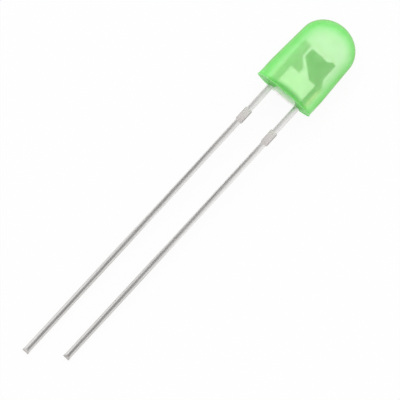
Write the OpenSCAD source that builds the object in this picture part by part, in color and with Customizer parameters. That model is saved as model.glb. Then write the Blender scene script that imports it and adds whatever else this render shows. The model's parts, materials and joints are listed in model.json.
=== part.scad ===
// Round 5 mm LED without a flange, cast in diffused green resin, on two long leads.
// Each piece is drawn in the LED's own frame: the axis up Z, the dome on top, z = 0 at
// the rim of the base, the anode on -X and the cathode on +X. lying() then lays it down
// as it rests on a table, on the rim and the two lead ends, with the dome towards +X. The
// lead frame is drawn about its own middle, and framed() moves it off the axis.

/* [Lens body] */
// Diameter of the sharp rim round the base
rim_d = 5.04; // [4.97:0.01:5.2]
// Diameter of the straight band just above the rim
band_d = 4.93; // [4.7:0.01:4.94]
// Height of the band, where the draft of the mould starts
band_h = 1.4; // [1:0.1:2]
// Diameter at the foot of the dome
dome_d = 4.6; // [4.4:0.02:4.68]
// Height of the foot of the dome
dome_z = 4.68; // [4.6:0.01:5.4]
// Height of the dome above its foot
dome_h = 2.08; // [1.8:0.01:2.4]
// Depth of the hollow that the resin shrinks to in the base
dish_depth = 0.25; // [0.15:0.01:0.35]
// Width of the lip left between the hollow and the rim
lip_w = 0.3; // [0.2:0.05:0.4]
// Lean of the poured base off square, higher on the cathode side
base_lean = 2.5; // [0:0.5:3.5]
// How far the resin wicks down each lead below the rim
wick_drop = 0.12; // [0.05:0.01:0.25]

/* [Leads] */
// Distance between the centres of the two leads
pitch = 2.54; // [2.5:0.01:2.6]
// How far the whole lead frame sits off the body's axis, towards the cathode
frame_shift = 0.12; // [0:0.01:0.15]
// Thickness of the sheet, which is also the width of a lead
sheet = 0.5; // [0.45:0.01:0.54]
// Radius that the tin coat gives a lead's long edges
edge_r = 0.08; // [0.04:0.01:0.12]
// Length of the anode lead below the rim
anode_len = 27.1; // [26:0.1:30]
// Length of the cathode lead below the rim
cathode_len = 25.4; // [20:0.1:25.9]
// Length of the end that the cutter pinches
pinch_len = 0.3; // [0.15:0.05:0.5]
// Thickness of the pinched end
pinch_t = 0.3; // [0.2:0.02:0.4]
// Width of the pinched end
pinch_w = 0.55; // [0.55:0.01:0.6]

/* [Stand-offs] */
// Distance from the rim down to the top of a stand-off
stop_z = 2.54; // [1.5:0.01:4]
// Height of a stand-off
stop_h = 1.22; // [0.8:0.01:1.6]
// Width of a stand-off
stop_w = 0.59; // [0.56:0.01:1]
// Height of the taper at its lower corners
stop_taper = 0.16; // [0.05:0.01:0.3]

/* [Anode post] */
// Height of the post's flat top
post_top = 4.07; // [3.97:0.01:4.17]
// Width of the post at its top
post_w = 0.6; // [0.5:0.01:0.6]
// Height at which its slanted side starts
post_neck = 3.07; // [3.02:0.01:3.17]
// Where its toe ends, on the cathode side of the frame's middle if above 0
toe_x = -0.35; // [-0.42:0.01:-0.3]
// Height of the toe's tip
toe_top = 2.39; // [2.27:0.01:2.41]
// Height of the underside of the toe
toe_low = 1.96; // [1.82:0.01:2.02]

/* [Cathode anvil] */
// Height of the anvil's flat top
anvil_top = 3.93; // [3.82:0.01:3.97]
// How far the anvil reaches towards the anode
anvil_reach = 0.75; // [0.66:0.01:0.75]
// Height at which its slanted side starts
anvil_neck = 3.19; // [3.17:0.01:3.27]
// Where the slant ends, on the cathode side of the frame's middle
anvil_heel = 0.42; // [0.4:0.01:0.46]
// Height of the anvil's underside
anvil_low = 2.07; // [1.97:0.01:2.09]
// Height of the ear that the second bond wire lands on
ear_top = 4.17; // [4.07:0.01:4.22]
// Where the ear's outer side stands
ear_x = 1.08; // [1:0.01:1.1]
// Width of the ear's flat top
ear_w = 0.26; // [0.22:0.01:0.3]
// Height at which the lead's outer side leans in to the ear
shoulder_low = 2.02; // [1.87:0.05:2.17]
// Height at which it becomes straight again
shoulder_high = 2.82; // [2.67:0.05:2.97]

/* [Reflector cup] */
// Diameter of the coined head round the cup
head_d = 1.2; // [1.1:0.02:1.24]
// Height of the head's round side
head_h = 0.55; // [0.45:0.01:0.6]
// Diameter of the cup at its mouth
cup_d = 0.9; // [0.8:0.02:0.96]
// Diameter of the cup's floor
cup_floor_d = 0.54; // [0.52:0.01:0.6]
// Depth of the cup
cup_depth = 0.28; // [0.24:0.01:0.34]

/* [Die and wires] */
// Side of the square die
die_side = 0.3; // [0.2:0.01:0.32]
// Thickness of the die
die_t = 0.1; // [0.08:0.01:0.12]
// Diameter of the dab of die attach
attach_d = 0.48; // [0.46:0.01:0.5]
// Thickness of the die attach
attach_t = 0.02; // [0.01:0.01:0.03]
// Diameter of a gold bond wire
wire_d = 0.03; // [0.025:0.001:0.035]
// Diameter of the ball that a wire starts from
ball_d = 0.08; // [0.06:0.01:0.09]
// Thickness of that ball, squashed flat
ball_t = 0.02; // [0.01:0.01:0.03]
// How far each wire's bond is from the middle of the die
pad_x = 0.08; // [0.06:0.01:0.09]
// How steeply a wire rises before it arches over
wire_rise = 0.9; // [0.7:0.05:1]

/* [Hidden] */
rim_r = rim_d / 2;
band_r = band_d / 2;
dome_r = dome_d / 2;
half_t = sheet / 2;
lead_x = pitch / 2;
lead_out = lead_x + half_t;
lead_in = lead_x - half_t;
cup_floor = anvil_top - cup_depth;
die_z = cup_floor + attach_t;
die_top = die_z + die_t;

// The mouth of the dish and the radius of the sphere that hollows it
dish_mouth = rim_r - lip_w;
dish_sphere = (pow(dish_mouth, 2) + pow(dish_depth, 2)) / (2 * dish_depth);

// The rim flares out from the band over flare_h, and its cone is carried on into the band
flare_h = 0.14;
flare_buried = 0.02;
flare_cone_h = flare_h * (rim_r - band_r + flare_buried) / (rim_r - band_r);

// Resin that stays below the leaning cut, and a block large enough to cut or keep anything
spare = 0.5;
block = 12;
bar_into_lens = 0.1;
wick_r = 0.38;
wick_top_r = 0.7;
wick_h = 0.5;
dome_steps = 24;
// The cutter of the cup stands this far above its mouth
cup_spare = 0.3;
// How far from the landing a wire's last pull points, and the block that trims its tail
wire_pull = wire_rise / 3;
tail_cut = 0.5;
wire_steps = 14;
wire_sides = 8;
small_fn = 48;
lens_fn = 96;

// A lead touches the table where its pinched end starts, at half its thickness
anode_touch = anode_len - pinch_len;
cathode_touch = cathode_len - pinch_len;
touch_sum = anode_touch + cathode_touch;
touch_gap = anode_touch - cathode_touch;
function lead_reach(turn) = (half_t - edge_r) * (cos(turn) + sin(turn)) + edge_r;
// The rim and both leads touch one plane. Solving the two leads' heights together gives the
// roll, and the anode's height then gives the tilt. The reach of a lead depends a little on
// the roll, so the roll is worked out over again a few times.
function settled(turn, steps) =
    steps == 0 ? turn : settled(
        asin(touch_gap * (rim_r - lead_reach(turn))
            / (lead_x * touch_sum + frame_shift * touch_gap)),
        steps - 1);
roll = settled(0, 4);
anode_lift = sin(roll) * (lead_x - frame_shift);
tilt = atan((rim_r - lead_reach(roll) + anode_lift) / anode_touch);
// Puts the origin on the table, under the middle of the LED's length
back = (anode_len - dome_z - dome_h) / 2 * cos(tilt);

// Lays the LED down: rolled about its axis, tilted, then turned with the dome to +X
module lying() {
    translate([back, 0, rim_r * cos(tilt)])
        rotate([-90, 0, -90])
            rotate([tilt, 0, 0])
                rotate([0, 0, roll])
                    children();
}

// Puts the lead frame, and what it carries, off the body's axis
module framed() {
    translate([frame_shift, 0, 0])
        children();
}

// A stamped shape: an outline drawn in X and Z, as thick as the sheet
module stamped() {
    rotate([90, 0, 0])
        linear_extrude(sheet, center = true)
            children();
}

// The section of a tinned lead, with its edges rounded
module tinned_section(width) {
    square([width, sheet - 2 * edge_r], center = true);
    square([width - 2 * edge_r, sheet], center = true);
    for (x = [-1, 1], y = [-1, 1])
        translate([x * (width / 2 - edge_r), y * (half_t - edge_r)])
            circle(r = edge_r, $fn = small_fn);
}

// A lead's end, which the cutter squeezes thinner in front and behind and so makes wider
module pinched_end(length) {
    intersection() {
        stamped()
            polygon([
                [-half_t, pinch_len - length], [-pinch_w / 2, -length],
                [pinch_w / 2, -length], [half_t, pinch_len - length]
            ]);
        rotate([90, 0, 90])
            linear_extrude(block, center = true)
                polygon([
                    [-half_t, pinch_len - length], [-pinch_t / 2, -length],
                    [pinch_t / 2, -length], [half_t, pinch_len - length]
                ]);
        translate([0, 0, -length])
            linear_extrude(pinch_len)
                tinned_section(pinch_w);
    }
}

// A stand-off: what is left of the tie bar that held the leads in the strip
module stand_off() {
    stop_low = -stop_z - stop_h;
    stamped()
        polygon([
            [-stop_w / 2, -stop_z], [stop_w / 2, -stop_z], [stop_w / 2, stop_low + stop_taper],
            [half_t, stop_low], [-half_t, stop_low], [-stop_w / 2, stop_low + stop_taper]
        ]);
}

// Everything of a lead below the lens, from its cut end up into the resin
module outer_lead(length) {
    translate([0, 0, pinch_len - length])
        linear_extrude(length - pinch_len + bar_into_lens)
            tinned_section(sheet);
    pinched_end(length);
    stand_off();
}

module anode_shape() {
    translate([-lead_x, 0, 0])
        outer_lead(anode_len);
    stamped()
        polygon([
            [-lead_out, 0], [-lead_out, post_top], [-lead_out + post_w, post_top],
            [-lead_out + post_w, post_neck], [toe_x, toe_top], [toe_x, toe_low],
            [-lead_in, toe_low], [-lead_in, 0]
        ]);
}

module cathode_shape() {
    ear_in = ear_x - ear_w;
    difference() {
        union() {
            translate([lead_x, 0, 0])
                outer_lead(cathode_len);
            stamped()
                polygon([
                    [lead_out, 0], [lead_out, shoulder_low], [ear_x, shoulder_high],
                    [ear_x, ear_top], [ear_in, ear_top],
                    [ear_in - (ear_top - anvil_top), anvil_top], [-anvil_reach, anvil_top],
                    [-anvil_reach, anvil_neck], [anvil_heel, anvil_low], [lead_in, anvil_low],
                    [lead_in, 0]
                ]);
            coined_head();
        }
        reflector_cup();
    }
}

// The head is coined round and thicker than the sheet, to hold the cup
module coined_head() {
    translate([0, 0, anvil_top - head_h])
        cylinder(h = head_h, d = head_d, $fn = small_fn);
    translate([0, 0, anvil_top - head_h - head_d / 2 + half_t])
        cylinder(h = head_d / 2 - half_t, d1 = sheet, d2 = head_d, $fn = small_fn);
}

module reflector_cup() {
    widening = (cup_d - cup_floor_d) / cup_depth;
    translate([0, 0, cup_floor])
        cylinder(h = cup_depth + cup_spare, d1 = cup_floor_d, d2 = cup_d + cup_spare * widening,
            $fn = small_fn);
}

module die_shape() {
    translate([-die_side / 2, -die_side / 2, die_z])
        cube([die_side, die_side, die_t]);
}

module attach_shape() {
    translate([0, 0, cup_floor])
        cylinder(h = attach_t, d = attach_d, $fn = small_fn);
}

// A wire's centre line: up from the ball, over in an arch, and down on to the lead
function curve(p, t) =
    pow(1 - t, 3) * p[0] + 3 * pow(1 - t, 2) * t * p[1]
    + 3 * (1 - t) * pow(t, 2) * p[2] + pow(t, 3) * p[3];
function heading(p, t) =
    pow(1 - t, 2) * (p[1] - p[0]) + 2 * (1 - t) * t * (p[2] - p[1]) + pow(t, 2) * (p[3] - p[2]);
function ring(p, t) = let (way = heading(p, t) / norm(heading(p, t))) [
    for (i = [0 : wire_sides - 1]) let (a = 360 * i / wire_sides)
        curve(p, t) + wire_d / 2 * (cos(a) * [way[2], 0, -way[0]] + sin(a) * [0, 1, 0])
];

module wire_tube(p) {
    points = [for (k = [0 : wire_steps]) each ring(p, k / wire_steps)];
    sides = [
        for (k = [0 : wire_steps - 1], i = [0 : wire_sides - 1])
            let (a = k * wire_sides, j = (i + 1) % wire_sides)
                [a + i, a + wire_sides + i, a + wire_sides + j, a + j]
    ];
    near_end = [for (i = [0 : wire_sides - 1]) i];
    far_end = [for (i = [0 : wire_sides - 1]) wire_steps * wire_sides + wire_sides - 1 - i];
    polyhedron(points, [near_end, each sides, far_end], convexity = 4);
}

// A bond wire from the die's pad at pad to the flat top at landing, which cuts its tail level
module bond_wire(pad, landing) {
    side = sign(landing[0] - pad[0]);
    start = [pad[0], 0, die_top + ball_t / 2];
    finish = [landing[0] + side * wire_d, 0, landing[1] - wire_d];
    rise = [0, 0, wire_rise];
    arrive = [-side, 0, 1] * wire_pull;
    translate([pad[0], 0, die_top])
        cylinder(h = ball_t, d = ball_d, $fn = small_fn);
    difference() {
        wire_tube([start, start + rise, finish + arrive, finish]);
        translate([landing[0] - tail_cut / 2, -tail_cut / 2, landing[1] - tail_cut])
            cube(tail_cut);
    }
}

module anode_wire_shape() {
    bond_wire([-pad_x, 0], [-lead_out + post_w / 2, post_top]);
}

module cathode_wire_shape() {
    bond_wire([pad_x, 0], [ear_x - ear_w / 2, ear_top]);
}

// The moulded blank: a straight band, a side with the mould's draft, and the dome
module lens_blank() {
    rotate_extrude($fn = lens_fn)
        polygon([
            [0, -spare], [band_r, -spare], [band_r, band_h],
            for (k = [0 : dome_steps]) let (a = 90 * k / dome_steps)
                [dome_r * cos(a), dome_z + dome_h * sin(a)]
        ]);
}

// The free surface of the poured resin: a leaning cut, dished inside a sharp rim
module poured_base() {
    rotate([0, -base_lean, 0]) {
        translate([-block / 2, -block / 2, -block])
            cube(block);
        translate([0, 0, dish_depth - dish_sphere])
            sphere(r = dish_sphere, $fn = lens_fn);
    }
}

module rim_flare() {
    rotate([0, -base_lean, 0])
        cylinder(h = flare_cone_h, r1 = rim_r, r2 = band_r - flare_buried, $fn = lens_fn);
}

// Resin drawn down round a lead
module wick() {
    translate([0, 0, -wick_drop])
        cylinder(h = wick_h, r1 = wick_r, r2 = wick_top_r, $fn = small_fn);
}

module lens_body() {
    color("palegreen")
        lying()
            difference() {
                union() {
                    difference() {
                        union() {
                            lens_blank();
                            rim_flare();
                        }
                        poured_base();
                    }
                    framed()
                        for (side = [-1, 1])
                            translate([side * lead_x, 0, 0])
                                wick();
                }
                framed() {
                    anode_shape();
                    cathode_shape();
                    attach_shape();
                    die_shape();
                    anode_wire_shape();
                    cathode_wire_shape();
                }
            }
}

module anode_lead() {
    color("gainsboro") lying() framed() anode_shape();
}

module cathode_lead() {
    color("silver") lying() framed() cathode_shape();
}

module led_die() {
    color("lightskyblue") lying() framed() die_shape();
}

module die_attach() {
    color("whitesmoke") lying() framed() attach_shape();
}

module anode_bond_wire() {
    color("gold") lying() framed() anode_wire_shape();
}

module cathode_bond_wire() {
    color("goldenrod") lying() framed() cathode_wire_shape();
}

lens_body();
anode_lead();
cathode_lead();
led_die();
die_attach();
anode_bond_wire();
cathode_bond_wire();
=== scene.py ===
# %% [markdown]
# # A round LED on two long leads
#
# The LED is 5 mm across and is cast in cloudy green resin. Two stamped and tinned leads come
# out of its base, and inside the resin they widen into a post and an anvil with a cup for the
# die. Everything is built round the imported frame: it says where the LED lies and how large
# each piece is, so no piece has to be fitted by eye.

# %% Load the frame
import json
import math
import bmesh
import bpy
from mathutils import Matrix, Vector


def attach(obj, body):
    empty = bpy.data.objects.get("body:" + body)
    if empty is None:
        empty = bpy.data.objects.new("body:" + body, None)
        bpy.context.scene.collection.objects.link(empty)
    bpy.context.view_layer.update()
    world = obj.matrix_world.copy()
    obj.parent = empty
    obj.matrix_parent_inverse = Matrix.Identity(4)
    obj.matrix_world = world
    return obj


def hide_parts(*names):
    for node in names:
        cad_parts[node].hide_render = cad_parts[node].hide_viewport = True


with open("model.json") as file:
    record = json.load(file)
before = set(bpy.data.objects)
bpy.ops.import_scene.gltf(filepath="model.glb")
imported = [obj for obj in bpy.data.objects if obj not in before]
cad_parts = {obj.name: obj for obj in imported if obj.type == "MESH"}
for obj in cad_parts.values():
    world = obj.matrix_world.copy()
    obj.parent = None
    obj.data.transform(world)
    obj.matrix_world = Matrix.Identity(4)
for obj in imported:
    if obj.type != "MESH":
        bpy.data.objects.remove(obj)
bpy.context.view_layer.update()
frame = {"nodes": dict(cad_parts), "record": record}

# %% [markdown]
# ## The LED's own axes
#
# The LED lies on a table, tilted on the rim of its base, so nothing in it runs along the
# world's axes. Modelling is far easier upright: X runs from the anode to the cathode, Z up to
# the dome, and the origin is the middle of the base. The record's mounts give a point on the
# axis and one on each lead, which is enough to work out the turn that lays a finished piece
# down. The lead frame sits a little off the axis, so its pieces get a place of their own.

# %% Find the LED's own axes
MM = 0.001
STOP_DEPTH = 3.76 * MM
mounts = {mount["name"]: mount for mount in frame["record"]["mounts"]}
anode_stop = Vector(mounts["anode_in_board"]["pos_m"])
cathode_stop = Vector(mounts["cathode_in_board"]["pos_m"])
on_axis = Vector(mounts["panel_hole"]["pos_m"])
AXIS = Vector(mounts["panel_hole"]["axis"]).normalized()
ACROSS = (cathode_stop - anode_stop).normalized()
BACK = AXIS.cross(ACROSS)
between_stops = (anode_stop + cathode_stop) / 2
RIM_CENTRE = on_axis + AXIS * ((between_stops - on_axis).dot(AXIS) + STOP_DEPTH)
FRAME_SHIFT = (between_stops - RIM_CENTRE).dot(ACROSS)
LYING = Matrix.Translation(RIM_CENTRE) @ Matrix((ACROSS, BACK, AXIS)).transposed().to_4x4()
LYING_FRAME = LYING @ Matrix.Translation((FRAME_SHIFT, 0, 0))
UPRIGHT = LYING.inverted()


def own_box(node, place):
    """Lowest and highest corner of a CAD node, measured along the axes of a place."""
    places = [place.inverted() @ vertex.co for vertex in frame["nodes"][node].data.vertices]
    return Vector(map(min, zip(*places))), Vector(map(max, zip(*places)))


lens_low, lens_high = own_box("lens_body", LYING)
anode_low, anode_high = own_box("anode_lead", LYING_FRAME)
cathode_low, cathode_high = own_box("cathode_lead", LYING_FRAME)
LEAD_X = (cathode_stop - anode_stop).length / 2
print("the LED's axis is", [round(v, 4) for v in AXIS], "and its back is", [round(v, 4) for v in BACK])
print("the lead frame is off the axis by", round(FRAME_SHIFT / MM, 3), "mm")
print("lens, mm:", [round(v / MM, 3) for v in (*lens_low, *lens_high)])
print("anode, mm:", [round(v / MM, 3) for v in (*anode_low, *anode_high)])
print("cathode, mm:", [round(v / MM, 3) for v in (*cathode_low, *cathode_high)])

# %% [markdown]
# ## Tools of the bench
#
# Operators act on whatever is selected, as a hand does. So each step first selects faces,
# edges or vertices by their place, then extrudes, resizes or moves them. These few helpers
# keep that short, and `lay_down` puts a finished piece in its place on the table.

# %% Helpers that select and shape
HAIR = 1e-6


def begin(name):
    """Names the primitive that was just added, applies its place and opens it for editing."""
    piece = bpy.context.object
    piece.name = piece.data.name = name
    bpy.ops.object.transform_apply(location=True, rotation=True, scale=True)
    bpy.ops.object.mode_set(mode="EDIT")
    return piece


def only(piece):
    """Leaves edit mode and selects this one piece."""
    if bpy.context.mode != "OBJECT":
        bpy.ops.object.mode_set(mode="OBJECT")
    bpy.ops.object.select_all(action="DESELECT")
    piece.select_set(True)
    bpy.context.view_layer.objects.active = piece


def pick(kind, test):
    """Selects the vertices, edges or faces whose middle passes the test, and counts them."""
    bpy.ops.mesh.select_mode(type=kind)
    bpy.ops.mesh.select_all(action="DESELECT")
    shape = bmesh.from_edit_mesh(bpy.context.object.data)
    found = 0
    for item in {"VERT": shape.verts, "EDGE": shape.edges, "FACE": shape.faces}[kind]:
        corners = [item] if kind == "VERT" else item.verts
        if test(sum((corner.co for corner in corners), Vector()) / len(corners)):
            item.select_set(True)
            found += 1
    shape.select_flush_mode()
    bmesh.update_edit_mesh(bpy.context.object.data)
    return found


def move(way):
    bpy.ops.transform.translate(value=way)


def extrude(way=(0, 0, 0)):
    bpy.ops.mesh.extrude_region_move(TRANSFORM_OT_translate={"value": way})


def resize(scale, centre):
    bpy.ops.transform.resize(value=scale, center_override=centre)


def modify(piece, kind, **settings):
    """Adds a modifier to the piece and applies it."""
    only(piece)
    modifier = piece.modifiers.new(kind.lower(), kind)
    for name, value in settings.items():
        setattr(modifier, name, value)
    bpy.ops.object.modifier_apply(modifier=modifier.name)


def lay_down(piece, smooth_under, place=LYING_FRAME):
    """Turns the faces outward, puts the piece in its place and smooths edges under an angle."""
    only(piece)
    bpy.ops.object.mode_set(mode="EDIT")
    bpy.ops.mesh.select_all(action="SELECT")
    bpy.ops.mesh.remove_doubles(threshold=HAIR)
    bpy.ops.mesh.normals_make_consistent(inside=False)
    bpy.ops.object.mode_set(mode="OBJECT")
    piece.matrix_world = place
    bpy.ops.object.transform_apply(location=True, rotation=True, scale=True)
    bpy.ops.object.shade_smooth_by_angle(angle=math.radians(smooth_under))
    modify(piece, "WEIGHTED_NORMAL", keep_sharp=True)
    print(piece.name, "has", len(piece.data.polygons), "faces")


# %% [markdown]
# ## The lens body
#
# The body is one casting. Its dome and its side come from a polished mould, with a little
# draft so that it slides out, while the base is the free surface of the poured resin: it
# shrinks to a shallow dish with a sharp rim. A sphere's upper half makes the dome, and its
# open edge is then drawn down ring by ring, which keeps one clean surface from top to base.
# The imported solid's facets cut a few thousandths of a millimetre off its curves, so the rim
# and the tip of the dome are inset by as much. Sizes that the frame can't tell, such as where
# the dome starts, repeat those of the CAD model.

# %% Dome and side
DOME_R = 2.3 * MM
DOME_FOOT = 4.68 * MM
BAND_R = 2.465 * MM
BAND_TOP = 1.4 * MM
FLARE_H = 0.14 * MM
INSET = 0.004 * MM
RIM_R = lens_high.x - INSET
top_z = lens_high.z - INSET
SEGMENTS = 128
DOME_RINGS = 64
SIDE_RINGS = 8

only(frame["nodes"]["lens_body"])
bpy.ops.mesh.primitive_uv_sphere_add(
    segments=SEGMENTS, ring_count=DOME_RINGS, radius=DOME_R, location=(0, 0, DOME_FOOT))
lens = begin("cast_lens")
pick("VERT", lambda place: place.z < DOME_FOOT - HAIR)
bpy.ops.mesh.delete(type="VERT")
bpy.ops.mesh.select_all(action="SELECT")
resize((1, 1, (top_z - DOME_FOOT) / DOME_R), (0, 0, DOME_FOOT))
ring = {"z": DOME_FOOT, "r": DOME_R}
foot_edges = pick("EDGE", lambda place: place.z < DOME_FOOT + HAIR)
print("the foot of the dome has", foot_edges, "edges")


def ring_to(z, r):
    """Extrudes the selected ring of edges to another height and radius."""
    extrude((0, 0, z - ring["z"]))
    resize((r / ring["r"],) * 2 + (1,), (0, 0, z))
    ring.update(z=z, r=r)


for step in range(1, SIDE_RINGS + 1):
    part = step / SIDE_RINGS
    ring_to(DOME_FOOT + (BAND_TOP - DOME_FOOT) * part, DOME_R + (BAND_R - DOME_R) * part)
ring_to(FLARE_H, BAND_R)
ring_to(0, RIM_R)

# %% [markdown]
# The rim is followed by a narrow lip and the dish. The dish is drawn inwards in many fine
# rings, because the resin also creeps a little way down each lead. That creep is pulled out
# with proportional editing, which takes the neighbouring rings along and so gives the
# concave collar that a wetting liquid forms.

# %% Lip, dish and collars
LIP_W = 0.3 * MM
DISH_DEPTH = 0.25 * MM
DISH_RINGS = 36
COLLAR_DROP = 0.27 * MM
COLLAR_R = 0.28 * MM
COLLAR_REACH = 0.4 * MM
mouth = RIM_R - LIP_W
ring_to(0, mouth)
for step in range(1, DISH_RINGS):
    r = mouth * (1 - step / DISH_RINGS)
    ring_to(DISH_DEPTH * (1 - (r / mouth) ** 2), r)
bpy.ops.mesh.merge(type="CENTER")


def in_collar(place, side):
    lead_middle = side * LEAD_X + FRAME_SHIFT
    return math.hypot(place.x - lead_middle, place.y) < COLLAR_R and place.z < DISH_DEPTH + HAIR


for side in (-1, 1):
    collar_vertices = pick("VERT", lambda place: in_collar(place, side))
    print("a collar is pulled out by its", collar_vertices, "middle vertices")
    bpy.ops.transform.translate(
        value=(0, 0, -COLLAR_DROP), use_proportional_edit=True, use_proportional_connected=True,
        proportional_edit_falloff="SHARP", proportional_size=COLLAR_REACH)

# %% [markdown]
# The resin set with the mould a little off level, so the base leans: it is higher on the
# cathode side. Turning the rim, the lip and the dish together about the middle of the base
# gives that lean, and the side above simply follows.

# %% Lean the base
BASE_LEAN = math.radians(2.5)
pick("VERT", lambda place: place.z < DISH_DEPTH + HAIR)
bpy.ops.transform.rotate(value=BASE_LEAN, orient_axis="Y", center_override=(0, 0, 0))
cathode_edge = max(bmesh.from_edit_mesh(lens.data).verts, key=lambda vertex: vertex.co.x)
print("the rim on the cathode side is at", round(cathode_edge.co.z / MM, 3), "mm")
lay_down(lens, smooth_under=35, place=LYING)

# %% [markdown]
# ## The leads
#
# Both leads are stamped from one strip and dipped in tin, which rounds their edges and leaves
# each face slightly crowned. A box with bevelled edges would do, but its flat faces would
# flash all at once in soft light. So a cylinder makes the bar: its corners are dragged out to
# a crowned square, and its end is widened and sliced thin, as a cutter pinches it. The
# stand-off and the part inside the resin are flat outlines, drawn in mm, as thick as the
# sheet, and joined to the bar by a union.

# %% Flat shapes
SHEET = anode_high.y - anode_low.y
EDGE_R = 0.04 * MM


def drag_to(piece, places):
    """Drags each corner of the piece, in turn, to its new place."""
    bpy.ops.mesh.select_mode(type="VERT")
    for number, place in enumerate(places):
        bpy.ops.mesh.select_all(action="DESELECT")
        shape = bmesh.from_edit_mesh(piece.data)
        shape.verts.ensure_lookup_table()
        shape.verts[number].select_set(True)
        bmesh.update_edit_mesh(piece.data)
        move(place - shape.verts[number].co)


def stamping(name, outline):
    """A flat shape: a disc dragged to an outline in X and Z, then given the sheet's thickness."""
    only(frame["nodes"]["lens_body"])
    bpy.ops.mesh.primitive_circle_add(
        vertices=len(outline), radius=MM, fill_type="NGON", rotation=(math.pi / 2, 0, 0))
    piece = begin(name)
    drag_to(piece, [Vector((x * MM, 0, z * MM)) for x, z in outline])
    bpy.ops.mesh.select_all(action="SELECT")
    move((0, -SHEET / 2, 0))
    extrude((0, SHEET, 0))
    bpy.ops.mesh.select_all(action="SELECT")
    bpy.ops.mesh.normals_make_consistent(inside=False)
    modify(piece, "BEVEL", width=EDGE_R, segments=3, limit_method="ANGLE", harden_normals=False)
    return piece


def join_solid(piece, other, operation="UNION"):
    """Joins another closed shape to the piece, or cuts it away, and removes the other."""
    modify(piece, "BOOLEAN", object=other, operation=operation, solver="EXACT")
    bpy.data.objects.remove(other)


print("the sheet is", round(SHEET / MM, 3), "mm thick")

# %% Bars
CROWN = 0.006 * MM
BAR_HALF = SHEET / 2 - CROWN
BAR_SIDES = 40
BAR_TOP = 0.3 * MM
# The section's squareness: 2 is a circle, and a large number is a sharp square
SQUARENESS = 2.6
PINCH_LEN = 0.3 * MM
PINCH_W = 0.55 * MM
PINCH_T = 0.3 * MM


def squared(corner):
    """A corner of the round bar, moved out to the crowned square section."""
    spread = (abs(corner.x) ** SQUARENESS + abs(corner.y) ** SQUARENESS) ** (1 / SQUARENESS)
    return Vector((corner.x * BAR_HALF / spread, corner.y * BAR_HALF / spread, corner.z))


def lead_bar(name, x, tip):
    """A lead's long bar at x, from inside the resin down to its pinched tip."""
    only(frame["nodes"]["lens_body"])
    bpy.ops.mesh.primitive_cylinder_add(
        vertices=BAR_SIDES, radius=BAR_HALF, depth=BAR_TOP - tip - PINCH_LEN,
        location=(0, 0, (BAR_TOP + tip + PINCH_LEN) / 2), end_fill_type="NGON")
    piece = begin(name)
    drag_to(piece, [squared(vertex.co) for vertex in bmesh.from_edit_mesh(piece.data).verts])
    pick("FACE", lambda place: place.z < tip + PINCH_LEN + HAIR)
    extrude((0, 0, -PINCH_LEN))
    resize((PINCH_W / 2 / BAR_HALF, 1, 1), (0, 0, tip))
    for side in (-1, 1):
        slant = Vector((0, side * PINCH_LEN, -(SHEET - PINCH_T) / 2)).normalized()
        bpy.ops.mesh.select_all(action="SELECT")
        bpy.ops.mesh.bisect(
            plane_co=(0, side * PINCH_T / 2, tip), plane_no=slant, use_fill=True,
            clear_outer=True, threshold=HAIR / 10)
    bpy.ops.mesh.select_all(action="SELECT")
    move((x, 0, 0))
    only(piece)
    print(name, "is a bar", round((BAR_TOP - tip) / MM, 2), "mm long")
    return piece


# %% [markdown]
# ### Stand-offs
#
# A tie bar held the leads together in the strip. Where it was sheared off, a wider piece is
# left on each lead, and it stops on the circuit board and holds the body off it. One outline
# serves both leads, with its lower corners tapered so that it centres itself on the hole.

# %% Stand-offs
STOP_TOP = 2.54
STOP_H = 1.22
STOP_W = 0.59
STOP_TAPER = 0.16
stop_low = -STOP_TOP - STOP_H


def stand_off(name, x):
    half, foot = STOP_W / 2, SHEET / MM / 2
    return stamping(name, [
        (x - half, -STOP_TOP), (x + half, -STOP_TOP), (x + half, stop_low + STOP_TAPER),
        (x + foot, stop_low), (x - foot, stop_low), (x - half, stop_low + STOP_TAPER)])


print("the stand-offs reach from", -STOP_TOP, "to", round(stop_low, 3), "mm")

# %% [markdown]
# ### The anode
#
# The anode is the longer lead. Inside the resin it rises as a post with a flat top, on which
# the bond wire lands, and a toe points inwards at its foot to lock it in the resin.

# %% Anode lead
POST_W = 0.6
POST_NECK = 3.07
TOE_X = -0.35
TOE_TOP = 2.39
TOE_LOW = 1.96
post_top = anode_high.z / MM
lead_x = LEAD_X / MM
lead_out = lead_x + SHEET / MM / 2
lead_in = lead_x - SHEET / MM / 2
anode = lead_bar("stamped_anode", -LEAD_X, anode_low.z)
join_solid(anode, stand_off("anode_stop", -lead_x))
join_solid(anode, stamping("post", [
    (-lead_out, 0), (-lead_out, post_top), (-lead_out + POST_W, post_top),
    (-lead_out + POST_W, POST_NECK), (TOE_X, TOE_TOP), (TOE_X, TOE_LOW),
    (-lead_in, TOE_LOW), (-lead_in, 0)]))
lay_down(anode, smooth_under=40)

# %% [markdown]
# ### The cathode
#
# The cathode carries the die. Its lead widens into an anvil, whose head is coined round and
# thicker to hold the reflector cup, and an ear stands beside it for the second bond wire.
# The head is a cylinder with a cone under it, and a second cone cuts the cup.

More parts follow.
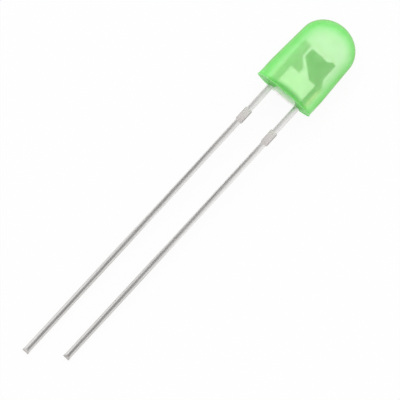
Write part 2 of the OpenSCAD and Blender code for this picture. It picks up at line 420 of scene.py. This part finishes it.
# %% Cathode lead with its anvil
ANVIL_TOP = 3.93
ANVIL_NECK = 3.19
ANVIL_HEEL = 0.42
ANVIL_LOW = 2.07
EAR_X = 1.08
EAR_W = 0.26
SHOULDER_LOW = 2.02
SHOULDER_HIGH = 2.82
anvil_reach = cathode_low.x / MM
ear_top = cathode_high.z / MM
ear_in = EAR_X - EAR_W
cathode = lead_bar("stamped_cathode", LEAD_X, cathode_low.z)
join_solid(cathode, stand_off("cathode_stop", lead_x))
join_solid(cathode, stamping("anvil", [
    (lead_out, 0), (lead_out, SHOULDER_LOW), (EAR_X, SHOULDER_HIGH), (EAR_X, ear_top),
    (ear_in, ear_top), (ear_in - (ear_top - ANVIL_TOP), ANVIL_TOP), (anvil_reach, ANVIL_TOP),
    (anvil_reach, ANVIL_NECK), (ANVIL_HEEL, ANVIL_LOW), (lead_in, ANVIL_LOW), (lead_in, 0)]))
print("the anvil reaches", round(-anvil_reach, 3), "mm past the middle")

# %% Coined head and reflector cup
HEAD_R = 0.6 * MM
HEAD_H = 0.55 * MM
HEAD_SHARP = math.radians(50)
CUP_R = 0.45 * MM
CUP_FLOOR_R = 0.27 * MM
CUP_DEPTH = 0.28 * MM
head_top = ANVIL_TOP * MM


def cone(name, low, high, r_low, r_high):
    only(frame["nodes"]["lens_body"])
    bpy.ops.mesh.primitive_cone_add(
        vertices=SEGMENTS // 2, radius1=r_low, radius2=r_high, depth=high - low,
        location=(0, 0, (low + high) / 2))
    return begin(name)


head = cone("head", head_top - HEAD_H, head_top - HAIR, HEAD_R, HEAD_R)
pick("FACE", lambda place: place.z < head_top - HEAD_H + HAIR)
extrude((0, 0, SHEET / 2 - HEAD_R))
resize((SHEET / 2 / HEAD_R,) * 2 + (1,), (0, 0, 0))
modify(head, "BEVEL", width=EDGE_R, segments=3, limit_method="ANGLE", angle_limit=HEAD_SHARP)
join_solid(cathode, head)
cup_slope = (CUP_R - CUP_FLOOR_R) / CUP_DEPTH
cup = cone("cup", head_top - CUP_DEPTH, head_top + CUP_DEPTH, CUP_FLOOR_R,
           CUP_FLOOR_R + 2 * CUP_DEPTH * cup_slope)
only(cup)
join_solid(cathode, cup, "DIFFERENCE")
lay_down(cathode, smooth_under=40)

# %% [markdown]
# ## Die, die attach and bond wires
#
# The die is a chip of sapphire 0.3 mm wide, with a raised mesa on top, and a dab of adhesive
# holds it in the cup. Two gold wires arch from it to the post and the ear. They hardly show
# through the cloudy resin, yet the LED would be dead without them. The die is a box with its
# top inset and raised, and the dab is a low cone with a soft edge.

# %% Die and dab of adhesive
CUP_FLOOR = head_top - CUP_DEPTH
DIE_SIDE = 0.3 * MM
DIE_T = 0.1 * MM
ATTACH_R = 0.24 * MM
ATTACH_T = 0.02 * MM
MESA_T = 0.008 * MM
die_z = CUP_FLOOR + ATTACH_T
die_top = die_z + DIE_T

dab = cone("dab_of_attach", CUP_FLOOR, CUP_FLOOR + ATTACH_T, ATTACH_R, ATTACH_R - ATTACH_T)
modify(dab, "BEVEL", width=ATTACH_T / 3, segments=3, limit_method="ANGLE")
lay_down(dab, smooth_under=40)

only(dab)
bpy.ops.mesh.primitive_cube_add(size=1, location=(0, 0, die_z + (DIE_T - MESA_T) / 2))
bpy.context.object.scale = (DIE_SIDE, DIE_SIDE, DIE_T - MESA_T)
die = begin("sapphire_die")
pick("FACE", lambda place: place.z > die_top - MESA_T - HAIR)
bpy.ops.mesh.inset(thickness=MESA_T)
extrude((0, 0, MESA_T))
modify(die, "BEVEL", width=MESA_T / 3, segments=2, limit_method="ANGLE")
lay_down(die, smooth_under=30)

# %% [markdown]
# ### Bond wires
#
# A bonding tool melts the wire's end to a ball, presses it on the die, draws the wire up and
# over, and squashes it flat on the lead. A curve with a round bevel gives a wire with an even
# thickness: its first handle points straight up and its last one slants down to the lead. As
# a mesh, its end is then flattened, and a squashed sphere is joined on as the ball.

# %% Bond wires
BALL_R = 0.04 * MM
BALL_T = 0.02 * MM
PAD_X = 0.08 * MM
WIRE_R = 0.015 * MM
WIRE_RISE = 0.9 * MM
CRESCENT_LEN = 3 * WIRE_R
CRESCENT_FLAT = 0.4
CRESCENT_WIDE = 1.5


def bond_wire(name, side, landing):
    """A wire from a squashed ball on the die, in one arch, to a flattened end on the lead."""
    pad = Vector((side * PAD_X, 0, die_top + BALL_T / 2))
    landing = Vector((landing[0] * MM, 0, landing[1] * MM + WIRE_R * CRESCENT_FLAT))
    only(die)
    bpy.ops.curve.primitive_bezier_curve_add(enter_editmode=False)
    piece = bpy.context.object
    piece.name = name
    start, end = piece.data.splines[0].bezier_points
    for point in (start, end):
        point.handle_left_type = point.handle_right_type = "FREE"
    start.co, start.handle_left = pad, pad
    start.handle_right = pad + Vector((0, 0, WIRE_RISE))
    end.co, end.handle_right = landing, landing
    end.handle_left = landing + Vector((-side, 0, 1)) * WIRE_RISE / 3
    piece.data.bevel_depth = WIRE_R
    piece.data.bevel_resolution = 3
    piece.data.resolution_u = 32
    piece.data.use_fill_caps = True
    bpy.ops.object.convert(target="MESH")
    bpy.ops.object.mode_set(mode="EDIT")
    pick("VERT", lambda place: (place - landing).length < CRESCENT_LEN)
    resize((1, CRESCENT_WIDE, CRESCENT_FLAT), landing)
    only(piece)
    bpy.ops.mesh.primitive_uv_sphere_add(segments=24, ring_count=12, radius=BALL_R, location=pad)
    ball = bpy.context.object
    ball.scale = (1, 1, BALL_T / 2 / BALL_R)
    begin("ball")
    only(ball)
    join_solid(piece, ball)
    lay_down(piece, smooth_under=50)
    return piece


post_wire = bond_wire("post_wire", -1, (-lead_out + POST_W / 2, post_top))
ear_wire = bond_wire("ear_wire", 1, (EAR_X - EAR_W / 2, ear_top))

# %% [markdown]
# ## Shader sums in Python
#
# A pattern is easier to read as a sum than as a chain of nodes. `Signal` wraps a socket, so
# that `mask * 0.3 + 0.1` adds the Math nodes it needs, and `add` makes any other node from
# its type, its settings and what goes into its sockets.

# %% Nodes and their sockets


def plug(node, **inputs):
    """Puts a value, or a link from a signal, into each named or numbered socket of a node."""
    for name, value in inputs.items():
        key = int(name[1:]) if name[1:].isdigit() else name.replace("_", " ")
        if isinstance(value, Signal):
            node.id_data.links.new(value.socket, node.inputs[key])
        else:
            node.inputs[key].default_value = value
    return node


def add(tree, kind, settings=None, **inputs):
    """Adds a node: its settings first, then what goes into its sockets."""
    node = tree.nodes.new(kind)
    for name, value in (settings or {}).items():
        setattr(node, name, value)
    return plug(node, **inputs)


class Signal:
    """A number or vector that changes over the surface, ready for Python sums."""

    def __init__(self, socket):
        self.socket = socket

    def math(self, operation, *values):
        tree = self.socket.id_data
        inputs = {f"_{place}": value for place, value in enumerate(values)}
        return Signal(add(tree, "ShaderNodeMath", {"operation": operation}, **inputs).outputs[0])

    def __add__(self, other):
        return self.math("ADD", self, other)

    def __sub__(self, other):
        return self.math("SUBTRACT", self, other)

    def __rsub__(self, other):
        return self.math("SUBTRACT", other, self)

    def __mul__(self, other):
        return self.math("MULTIPLY", self, other)

    def __abs__(self):
        return self.math("ABSOLUTE", self)

    __radd__ = __add__
    __rmul__ = __mul__

    def step(self, low, high):
        """0 at low and 1 at high, with a smooth ramp between them."""
        node = add(self.socket.id_data, "ShaderNodeMapRange", {"interpolation_type": "SMOOTHSTEP"},
                   Value=self, From_Min=low, From_Max=high)
        return Signal(node.outputs["Result"])

    def capped(self):
        """The signal, but never more than 1."""
        return self.math("MINIMUM", self, 1.0)

    def size(self):
        """The length of a vector."""
        node = add(self.socket.id_data, "ShaderNodeVectorMath", {"operation": "LENGTH"}, _0=self)
        return Signal(node.outputs["Value"])

    def blend(self, first, second):
        """The colour first where this is 0 and second where it is 1."""
        node = add(self.socket.id_data, "ShaderNodeMix", {"data_type": "RGBA"},
                   _0=self, _6=first, _7=second)
        return Signal(node.outputs[2])


# %% [markdown]
# Every pattern reads the place on the LED itself, in mm along its own axes, so that it stays
# put when the LED is turned and a mask can be written like a size on a drawing.

# %% Places and patterns


def own_place(tree):
    """Object coordinates turned upright, in mm along the LED's own axes."""
    turn = UPRIGHT.to_3x3()
    place = add(tree, "ShaderNodeTexCoord").outputs["Object"]
    node = add(tree, "ShaderNodeMapping", {"vector_type": "POINT"}, Vector=Signal(place),
               Location=UPRIGHT.translation / MM, Rotation=turn.to_euler("XYZ"),
               Scale=(1 / MM,) * 3)
    return Signal(node.outputs["Vector"])


def parts_of(vector):
    """The X, Y and Z of a vector."""
    node = add(vector.socket.id_data, "ShaderNodeSeparateXYZ", Vector=vector)
    return [Signal(output) for output in node.outputs]


def stretched(vector, scale):
    tree = vector.socket.id_data
    node = add(tree, "ShaderNodeVectorMath", {"operation": "MULTIPLY"}, _0=vector, _1=scale)
    return Signal(node.outputs["Vector"])


def noise(vector, scale, detail=2.0, roughness=0.5):
    node = add(vector.socket.id_data, "ShaderNodeTexNoise", Vector=vector, Scale=scale,
               Detail=detail, Roughness=roughness)
    return Signal(node.outputs["Fac"])


def bump(height, strength, distance):
    node = add(height.socket.id_data, "ShaderNodeBump", Height=height, Strength=strength,
               Distance=distance)
    return Signal(node.outputs["Normal"])


# %% Materials and shaders


def finish_of(name):
    """A new material, the tree it is made in, and its shader."""
    material = bpy.data.materials.new(name)
    material.use_nodes = True
    return material, material.node_tree, material.node_tree.nodes["Principled BSDF"]


def mix_shaders(tree, share, first, second):
    """Mixes two shaders: the first where share is 0 and the second where it is 1."""
    return add(tree, "ShaderNodeMixShader", Fac=share, _1=Signal(first.outputs[0]),
               _2=Signal(second.outputs[0]))


def show(tree, shader):
    """Makes a shader the surface of its material."""
    plug(tree.nodes["Material Output"], Surface=Signal(shader.outputs[0]))


def rays_of(tree):
    """Masks for a ray from the camera, a ray off something glossy and a ray through glass."""
    node = add(tree, "ShaderNodeLightPath")
    kinds = ("Is Camera Ray", "Is Glossy Ray", "Is Transmission Ray")
    return [Signal(node.outputs[kind]) for kind in kinds]


def give(piece, material):
    piece.data.materials.clear()
    piece.data.materials.append(material)
    print(piece.name, "is finished in", material.name, "with", len(material.node_tree.nodes), "nodes")


# %% [markdown]
# ## Cloudy green resin
#
# The resin is clear green epoxy with a fine white powder. Some of the light goes through it,
# blurred, and shows the lead frame, and some is scattered back just under the skin. One shader
# could do both, but then the powder and the clear share would have one colour and one
# roughness. So two are mixed: a milky one with scattering under the skin, and a clear, rough
# one. Masks come first. One is an arch just above the base, where a darker green is painted in
# as shade for the light that the dish turns away, and one is the poured face of the base itself.

# %% Where the resin changes
ARCH_BEND = 0.1
ARCH_MIDDLE = 0.3
ARCH_FADE = (0.22, 0.68)
POURED_EDGE = (BAND_R / MM - 0.04, BAND_R / MM - 0.01)
POURED_TOP = (0.4, 0.5)


def painted_dish_shade(x, z):
    """Where shade is painted: 1 just above the leaning base and 0 above an arch."""
    aside = x - ARCH_MIDDLE
    arch = z - math.tan(BASE_LEAN) * x + ARCH_BEND * aside * aside
    return 1 - arch.step(*ARCH_FADE)


def poured_face(radius, z):
    """1 on the poured face of the base, short of its rim, and 0 everywhere else."""
    return (1 - radius.step(*POURED_EDGE)) * (1 - z.step(*POURED_TOP))


# %% [markdown]
# The poured face has a gloss of its own. Seen square on it is green, and at a grazing angle
# the far side of the dish and its lip mirror the white table between the leads. Layer
# Weight's Facing tells how grazing the angle is. The collars of resin round the leads break
# the gleam up, so it is kept between them.

# %% Gleam of the lip
GLEAM_BETWEEN = (0.9, 1.4)
GLEAM_FAR_SIDE = (-1, 0.5)
GLEAM_DISH = (0.0, 2.0)
GLEAM_LIP = (1.9, 2.1)
GLEAM_GRAZING = (0.4, 0.6)


def lip_gleam(x, y, radius, facing):
    """The share of gloss on the far side of the base: half in the dish, all of it on the lip."""
    between = 1 - abs(x - FRAME_SHIFT / MM).step(*GLEAM_BETWEEN)
    rise = 0.5 * radius.step(*GLEAM_DISH) + 0.5 * radius.step(*GLEAM_LIP)
    return rise * between * y.step(*GLEAM_FAR_SIDE) * facing.step(*GLEAM_GRAZING)


# %% [markdown]
# The mix depends on the angle too. In the middle of the body the light comes straight through,
# and towards the outline it has a long way to go through the powder, so the body turns milky.
# The clear share is a little larger towards the cathode's side, so that side looks a little paler.
# Under the skin green light spreads by about 0.8 mm, and red and blue light half as far. A
# coat stands for the polish of the mould, so the poured base has none. Rays that are inside
# the body meet only clear resin, or the powder would stop them twice.

# %% Resin
MILK_THIN = (0.22, 0.87, 0.19, 1)
MILK_THICK = (0.26, 0.91, 0.23, 1)
MILK_PAINTED_SHADE = (0.16, 0.56, 0.13, 1)
MILK_POURED = (0.22, 0.70, 0.19, 1)
CLEAR_LOW = (0.87, 1.0, 0.70, 1)
CLEAR_HIGH = (0.975, 1.0, 0.86, 1)
GLOSS_WHITE = (0.97, 0.93, 0.93, 1)
POLISH = 0.7
POLISH_FADE = (0.1, 0.3)
POLISH_ROUGHNESS = 0.1
RESIN_IOR = 1.5
CLEAR_SHARE = 0.45
CLEARER_SIDE = 0.16


def resin():
    material, tree, milky = finish_of("diffused_resin")
    place = own_place(tree)
    x, y, z = parts_of(place)
    radius = stretched(place, (1, 1, 0)).size()
    facing = Signal(add(tree, "ShaderNodeLayerWeight", Blend=0.5).outputs["Facing"])
    inside = Signal(add(tree, "ShaderNodeNewGeometry").outputs["Backfacing"])
    painted_by_dish = painted_dish_shade(x, z)
    poured = poured_face(radius, z)
    skin = bump(noise(place, scale=2.5), strength=0.15, distance=0.01 * MM)
    coat = POLISH * z.step(*POLISH_FADE) * (1 - poured)

    cloud = noise(place, scale=0.9, detail=3.0).step(0.35, 0.65)
    milk = cloud.blend(MILK_THIN, MILK_THICK)
    # painted shade: a darker green in the arch just above the base
    milk = painted_by_dish.blend(milk, MILK_PAINTED_SHADE)
    milk = poured.blend(milk, MILK_POURED)
    plug(milky, Base_Color=milk, Normal=skin, Roughness=0.5, Subsurface_Weight=1.0,
         Subsurface_Radius=(0.5, 1, 0.5), Subsurface_Scale=0.8 * MM, Coat_Weight=coat,
         Coat_Roughness=POLISH_ROUGHNESS, Coat_IOR=RESIN_IOR, Specular_IOR_Level=0.2)
    clear = add(tree, "ShaderNodeBsdfPrincipled", Base_Color=z.step(1, 4.5).blend(CLEAR_LOW, CLEAR_HIGH),
                Normal=skin, Roughness=0.35, IOR=1.17, Transmission_Weight=1.0, Coat_Weight=coat,
                Coat_Roughness=POLISH_ROUGHNESS, Coat_IOR=RESIN_IOR)
    gloss = add(tree, "ShaderNodeBsdfAnisotropic", Color=GLOSS_WHITE, Roughness=0.3, Normal=skin)

    powdery = (facing - CLEARER_SIDE * x.step(-0.5, 2.5)).step(0.02, 0.57)
    share = CLEAR_SHARE * (1 - powdery) * (1 - 0.95 * painted_by_dish) * (1 - poured)
    share = share + poured * lip_gleam(x, y, radius, facing)
    other = mix_shaders(tree, poured * (1 - inside), clear, gloss)
    show(tree, mix_shaders(tree, inside + (1 - inside) * share, milky, other))
    return material


give(lens, resin())

# %% [markdown]
# ## Tinned leads
#
# Tin is bright but soft: fine lines run along the bar where it was drawn over the tools, the
# stand-offs are matt and mottled where the tie bar was sheared away, and the cut ends show
# the darker steel. The sheared flanks of the stand-offs are duller steel, and painted shade
# makes the flank on the +X side darker than the other. Inside the resin the frame gets a
# painted shade, darker on the anvil than on the post, for the light that the cloudy resin
# holds back, and a warm painted highlight runs along one edge of each stem. One material with
# masks along the LED's axis keeps these finishes in step with the shape, where separate
# materials would need the mesh to be split at each border.

# %% Tin
TIN_DULL = (0.80, 0.79, 0.77, 1)
TIN_BRIGHT = (0.88, 0.87, 0.86, 1)
MATT_DARK = (0.81, 0.77, 0.76, 1)
MATT_PALE = (0.91, 0.87, 0.86, 1)
FLANK_LIT = (0.70, 0.67, 0.66, 1)
FLANK_PAINTED_SHADE = (0.50, 0.47, 0.46, 1)
CUT_STEEL = (0.66, 0.63, 0.61, 1)
POST_PAINTED_SHADE = (0.50, 0.48, 0.43, 1)
ANVIL_PAINTED_SHADE = (0.32, 0.30, 0.26, 1)
EDGE_PAINTED_HIGHLIGHT = (1.0, 0.85, 0.72, 1)
STEM_TOP = (1.7, 2.3)


def tinned(name, middle, tip, painted_frame_shade, lit):
    """Tin for one lead, with painted shade inside the resin. Its painted highlight edge starts and is
    full at two places off its middle, in mm.
    """
    material, tree, shader = finish_of(name)
    place = own_place(tree)
    x, _, z = parts_of(place)
    x = x - middle / MM
    on_flank = abs(x).step(STOP_W / 2 - 0.05, STOP_W / 2 - 0.02)
    below_top = 1 - z.step(-STOP_TOP - 0.03, -STOP_TOP + 0.03)
    on_stop = z.step(stop_low - 0.05, stop_low + 0.05) * below_top
    in_resin = z.step(0.0, 0.1)
    cut_end = 1 - z.step(tip / MM, tip / MM + 0.2)
    # painted highlight: a warm stripe along one edge of the stem inside the resin
    painted_highlight_edge = x.step(*lit) * (1 - z.step(*STEM_TOP))

    lines = noise(stretched(place, (14, 14, 0.7)), scale=1.0, detail=3.0)
    mottle = noise(place, scale=9.0, detail=3.0, roughness=0.6)
    matt = mottle.step(0.35, 0.65).blend(MATT_DARK, MATT_PALE)
    # the sheared flanks are duller steel, and painted shade makes the +X flank darker than the other
    matt = on_flank.blend(matt, x.step(-0.1, 0.1).blend(FLANK_LIT, FLANK_PAINTED_SHADE))
    colour = on_stop.blend(lines.step(0.3, 0.7).blend(TIN_DULL, TIN_BRIGHT), matt)
    # painted shade on the frame inside the resin, with a painted highlight along one stem edge
    colour = in_resin.blend(colour, painted_highlight_edge.blend(painted_frame_shade, EDGE_PAINTED_HIGHLIGHT))
    colour = cut_end.blend(colour, CUT_STEEL)
    rough = 0.27 + 0.12 * lines + 0.3 * on_stop + 0.2 * in_resin + 0.25 * cut_end
    relief = lines * 0.25 + mottle * (on_stop * 0.9 + 0.1)
    plug(shader, Base_Color=colour, Metallic=1.0, Roughness=rough,
         Normal=bump(relief, strength=0.35, distance=0.012 * MM))
    return material


give(anode, tinned("anode_tin", FRAME_SHIFT - LEAD_X, anode_low.z, POST_PAINTED_SHADE, (-0.17, -0.24)))
give(cathode, tinned("cathode_tin", FRAME_SHIFT + LEAD_X, cathode_low.z, ANVIL_PAINTED_SHADE, (0.06, 0.14)))

# %% [markdown]
# ## Sapphire, adhesive and gold
#
# The die is a pale blue chip with a faint film on it, the adhesive is a white paste with
# filler grains, and the gold wire carries fine marks from the die that it was drawn through.
# A single noise, at the size of each one's grain, changes its colour and its roughness.

# %% Small finishes
FILM_DARK = (0.55, 0.68, 0.80, 1)
FILM_PALE = (0.72, 0.82, 0.90, 1)
PASTE_DARK = (0.80, 0.80, 0.76, 1)
PASTE_PALE = (0.92, 0.92, 0.89, 1)
GOLD_DEEP = (0.90, 0.62, 0.22, 1)
GOLD_PALE = (1.0, 0.78, 0.36, 1)


def sapphire():
    material, tree, shader = finish_of("die")
    film = noise(own_place(tree), scale=14.0, detail=3.0)
    plug(shader, Base_Color=film.blend(FILM_DARK, FILM_PALE), Roughness=0.12 + 0.15 * film, IOR=1.77)
    return material


def adhesive():
    material, tree, shader = finish_of("die_attach")
    grain = noise(own_place(tree), scale=40.0, detail=4.0)
    plug(shader, Base_Color=grain.blend(PASTE_DARK, PASTE_PALE), Roughness=0.35 + 0.3 * grain,
         Normal=bump(grain, strength=0.4, distance=0.004 * MM))
    return material


def gold():
    material, tree, shader = finish_of("gold_wire")
    marks = noise(own_place(tree), scale=60.0, detail=3.0)
    plug(shader, Base_Color=marks.blend(GOLD_DEEP, GOLD_PALE), Metallic=1.0,
         Roughness=0.15 + 0.2 * marks)
    return material


give(die, sapphire())
give(dab, adhesive())
gold_finish = gold()
give(post_wire, gold_finish)
give(ear_wire, gold_finish)

# %% [markdown]
# ## Tie the pieces to the frame
#
# Each piece stands for the CAD node of the same part and rides on the one body.

# %% Ride and replace
for piece, node, slot in (
        (lens, "lens_body", "diffused_resin"), (anode, "anode_lead", "tinned_lead"),
        (cathode, "cathode_lead", "tinned_lead"), (die, "led_die", "die"),
        (dab, "die_attach", "die_attach"), (post_wire, "anode_bond_wire", "gold_wire"),
        (ear_wire, "cathode_bond_wire", "gold_wire")):
    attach(piece, "root")
    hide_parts(node)
    print(piece.name, "stands for", node)

# %% [markdown]
# ## Table, light and camera
#
# The LED lies on a white table under soft light, as in a light tent. The camera should see
# the table plain white with hardly a shadow, and the resin and the tin need white to let
# through and to mirror. A very bright lamp would do that but bleach the LED, so the table
# glows for such rays only and is lit paper for all others. Mirrored rays see it darker beside
# the dome and along the lead ends, like grey sheets laid out of view, which gives the metal
# and the coat something to draw.

# %% Table
FLOOR_SIZE = 4.0
PAPER = (0.90, 0.90, 0.90, 1)
WHITE = (1, 1, 1, 1)
GREY_BY_TIPS = (0.70, 0.68, 0.66, 1)
GREY_BY_DOME = (0.50, 0.42, 0.36, 1)
TIPS_END = (-7 * MM, -2 * MM)
DOME_START = (10 * MM, 12 * MM)
# How much of the white that the camera sees is glow, which no shadow dims
GLOW_SHARE = 0.92
only(lens)
bpy.ops.mesh.primitive_plane_add(size=FLOOR_SIZE, location=(0, 0, 0))
floor = bpy.context.object
floor.name = "table"
paper, paper_tree, paper_shader = finish_of("table_white")
plug(paper_shader, Base_Color=PAPER, Roughness=0.9, Specular_IOR_Level=0.0)
seen, glossy, through = rays_of(paper_tree)
mirrored = glossy * (1 - through)
along = parts_of(Signal(add(paper_tree, "ShaderNodeTexCoord").outputs["Object"]))[0]
by_tips = mirrored * (1 - along.step(*TIPS_END))
by_dome = mirrored * along.step(*DOME_START)
tint = by_dome.blend(by_tips.blend(WHITE, GREY_BY_TIPS), GREY_BY_DOME)
glow = add(paper_tree, "ShaderNodeEmission", Color=tint, Strength=1.0)
glowing = GLOW_SHARE * seen + mirrored + through
show(paper_tree, mix_shaders(paper_tree, glowing.capped(), paper_shader, glow))
give(floor, paper)

# %% [markdown]
# The tent is the world: it lights the LED evenly from all round, and looks plain white to the
# same three kinds of ray. One large lamp above adds a little shape, and is kept out of
# reflections, where its square outline would give it away.

# %% World and lamp
WORLD_LIGHT = 0.75
LAMP_ASIDE = 0.05
LAMP_HEIGHT = 0.4
LAMP_SIZE = 0.3
LAMP_POWER = 0.5
world = bpy.data.worlds.new("tent")
bpy.context.scene.world = world
world.use_nodes = True
sky = world.node_tree
seen, glossy, through = rays_of(sky)
white_rays = (seen + glossy + through).capped()
plug(sky.nodes["Background"], Color=WHITE, Strength=WORLD_LIGHT + (1 - WORLD_LIGHT) * white_rays)

bpy.ops.object.light_add(type="AREA", location=(LAMP_ASIDE, LAMP_ASIDE, LAMP_HEIGHT))
lamp = bpy.context.object
lamp.data.size = LAMP_SIZE
lamp.data.energy = LAMP_POWER
lamp.visible_glossy = False
lamp.visible_transmission = False
lamp.rotation_euler = (-lamp.location).to_track_quat("-Z", "Y").to_euler()
print("the lamp is", round(lamp.location.length, 3), "m away")

# %% [markdown]
# ### The black card
#
# Shiny metal shows its shape only by what it mirrors. A product photographer hangs up a black
# card for it to mirror, and here that draws the dark line along each lead. The card hangs
# above the LED, and only mirrored rays see it. It is a grid whose corners are dragged into
# place, row by row along the LED. The line has soft edges, because the card is black only in
# the middle and thins out to clear film on both sides.

# %% Card
CARD_AWAY = 30
CARD_COLUMNS = 4
# Each row's place along the LED's axis, and the places across it where the film starts, where
# it is black, where it is last black, where it has thinned and where it ends, all in mm
CARD_ROWS = [
    (-40, (-20, -2, 7, 40, 200)), (-16, (-20, -2, 7, 40, 200)), (-10.5, (-35, -15, -4, 11, 80)),
    (-7.5, (-90, -50, -11, 2, 40)), (-2, (-200, -130, -4, 6, 18)), (2, (-200, -120, -50, -28, -12)),
    (6, (-200, -120, -70, -60, -50))]


def card_place(corner):
    """Where a corner of the flat grid, 2 mm wide and high, belongs on the card."""
    column = round((corner.x / MM + 1) / 2 * CARD_COLUMNS)
    row = round((corner.z / MM + 1) / 2 * (len(CARD_ROWS) - 1))
    z, places_across = CARD_ROWS[row]
    return Vector((places_across[column], -CARD_AWAY, z)) * MM


only(lens)
bpy.ops.mesh.primitive_grid_add(
    x_subdivisions=CARD_COLUMNS, y_subdivisions=len(CARD_ROWS) - 1, size=2 * MM,
    rotation=(math.pi / 2, 0, 0))
card = begin("black_card")
drag_to(card, [card_place(vertex.co) for vertex in bmesh.from_edit_mesh(card.data).verts])
only(card)
card.matrix_world = LYING
bpy.ops.object.transform_apply(location=True, rotation=True, scale=True)
card.visible_camera = False
card.visible_diffuse = False
card.visible_transmission = False
card.visible_shadow = False
print("the card has", len(card.data.vertices), "corners")

# %% Film of the card
BLACK = (0.03, 0.03, 0.03, 1)
black, black_tree, black_shader = finish_of("card_black")
plug(black_shader, Base_Color=BLACK, Roughness=0.9, Specular_IOR_Level=0.0)
across, upward, _ = parts_of(Signal(add(black_tree, "ShaderNodeTexCoord").outputs["UV"]))
thinned = 1 - 0.65 * across.step(0.5, 0.75)
opaque = across.step(0, 0.25) * thinned * (1 - across.step(0.75, 1))
opaque = opaque * (0.8 + 0.18 * upward.step(0.25, 0.65))
film = add(black_tree, "ShaderNodeBsdfTransparent")
show(black_tree, mix_shaders(black_tree, opaque, film, black_shader))
give(card, black)

# %% [markdown]
# ### The camera
#
# The camera looks down on the front of the LED through a long lens, a little from the side of
# the lead ends, so the near edge of the base shows. It is rolled so that the LED runs up to
# the right, and it aims at a point between the leads.

# %% Camera
LENS_MM = 727
CAMERA_FAR = 0.6
VIEW_LEAN = math.radians(4.5)
VIEW_TURN = math.radians(4.5)
PICTURE_ANGLE = math.radians(47.3)
AIM_DOWN = 10.0 * MM
AIM_ACROSS = 0.75 * MM
side_way = -BACK * math.cos(VIEW_TURN) + ACROSS * math.sin(VIEW_TURN)
to_camera = (side_way * math.cos(VIEW_LEAN) - AXIS * math.sin(VIEW_LEAN)).normalized()
aim = RIM_CENTRE - AXIS * AIM_DOWN + ACROSS * AIM_ACROSS
along_led = (AXIS - to_camera * AXIS.dot(to_camera)).normalized()
beside_led = along_led.cross(to_camera)
up = along_led * math.sin(PICTURE_ANGLE) - beside_led * math.cos(PICTURE_ANGLE)
right = up.cross(to_camera)
bpy.ops.object.camera_add(location=aim + to_camera * CAMERA_FAR)
camera = bpy.context.object
camera.matrix_world = Matrix.Translation(aim + to_camera * CAMERA_FAR) @ Matrix(
    (right, up, to_camera)).transposed().to_4x4()
camera.data.lens = LENS_MM
camera.data.clip_start = 0.01
bpy.context.scene.camera = camera
bpy.context.scene.view_settings.view_transform = "Standard"
print("the camera looks down by", round(math.degrees(math.asin(to_camera.z)), 1), "degrees")
